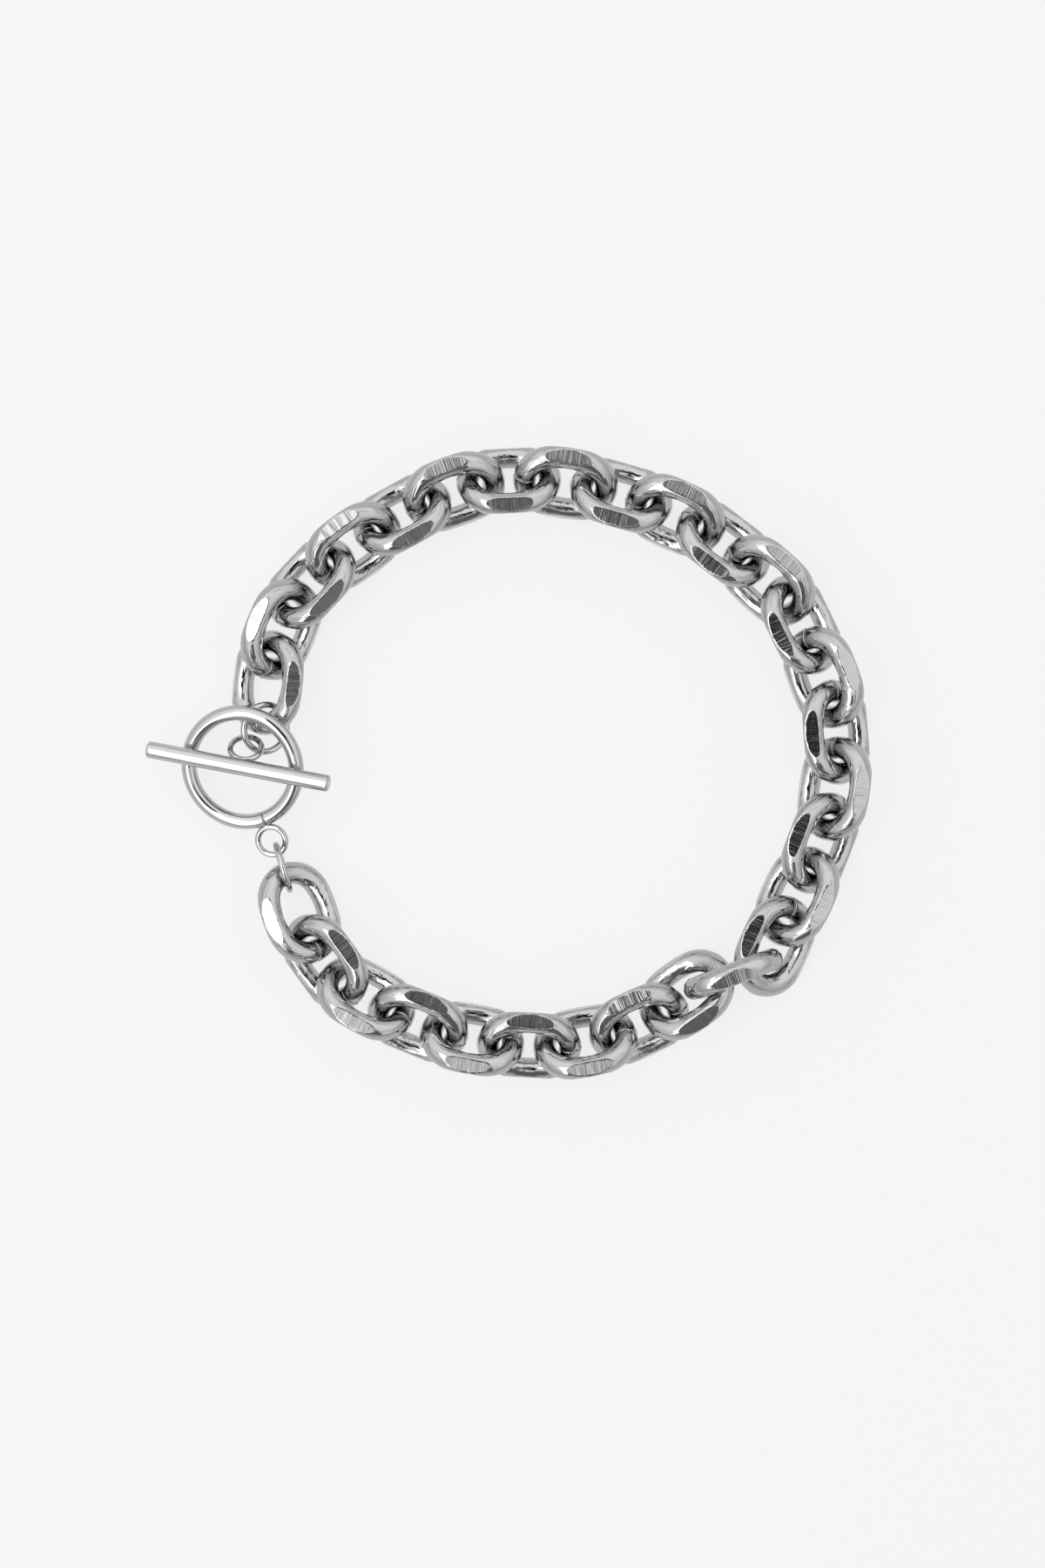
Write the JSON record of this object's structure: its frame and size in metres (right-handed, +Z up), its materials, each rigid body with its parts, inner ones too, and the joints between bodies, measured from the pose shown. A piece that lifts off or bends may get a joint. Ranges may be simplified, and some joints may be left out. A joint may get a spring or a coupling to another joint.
{
  "type": "chain link bracelet",
  "caption": "Bracelet of thick polished steel links with filed flats along their sides, lying closed in a ring with its toggle bar across its toggle ring.",
  "frame": {"origin": "on the surface the bracelet lies on, under the middle of its box", "axes": "+Z up, out of the surface; +X to the right and +Y up the picture as it is seen from above, with the clasp at -X"},
  "size_m": [0.0832, 0.0728, 0.0098],
  "materials": {
    "link_steel": "polished",
    "clasp_steel": "polished"
  },
  "bodies": {
    "root": {"link_01": "link_steel", "link_02": "link_steel", "link_03": "link_steel", "link_04": "link_steel", "link_05": "link_steel", "link_06": "link_steel", "link_07": "link_steel", "link_08": "link_steel", "link_09": "link_steel", "link_10": "link_steel", "link_11": "link_steel", "link_12": "link_steel", "link_13": "link_steel", "link_14": "link_steel", "link_15": "link_steel", "link_16": "link_steel", "link_17": "link_steel", "link_18": "link_steel", "link_19": "link_steel", "link_20": "link_steel", "link_21": "link_steel", "link_22": "link_steel", "link_23": "link_steel", "link_24": "link_steel", "link_25": "link_steel", "link_26": "link_steel", "link_27": "link_steel", "link_28": "link_steel", "link_29": "link_steel", "toggle_ring": "clasp_steel", "toggle_bar": "clasp_steel", "jump_ring_bar": "clasp_steel", "jump_ring_ring": "clasp_steel"}
  },
  "joints": []
}
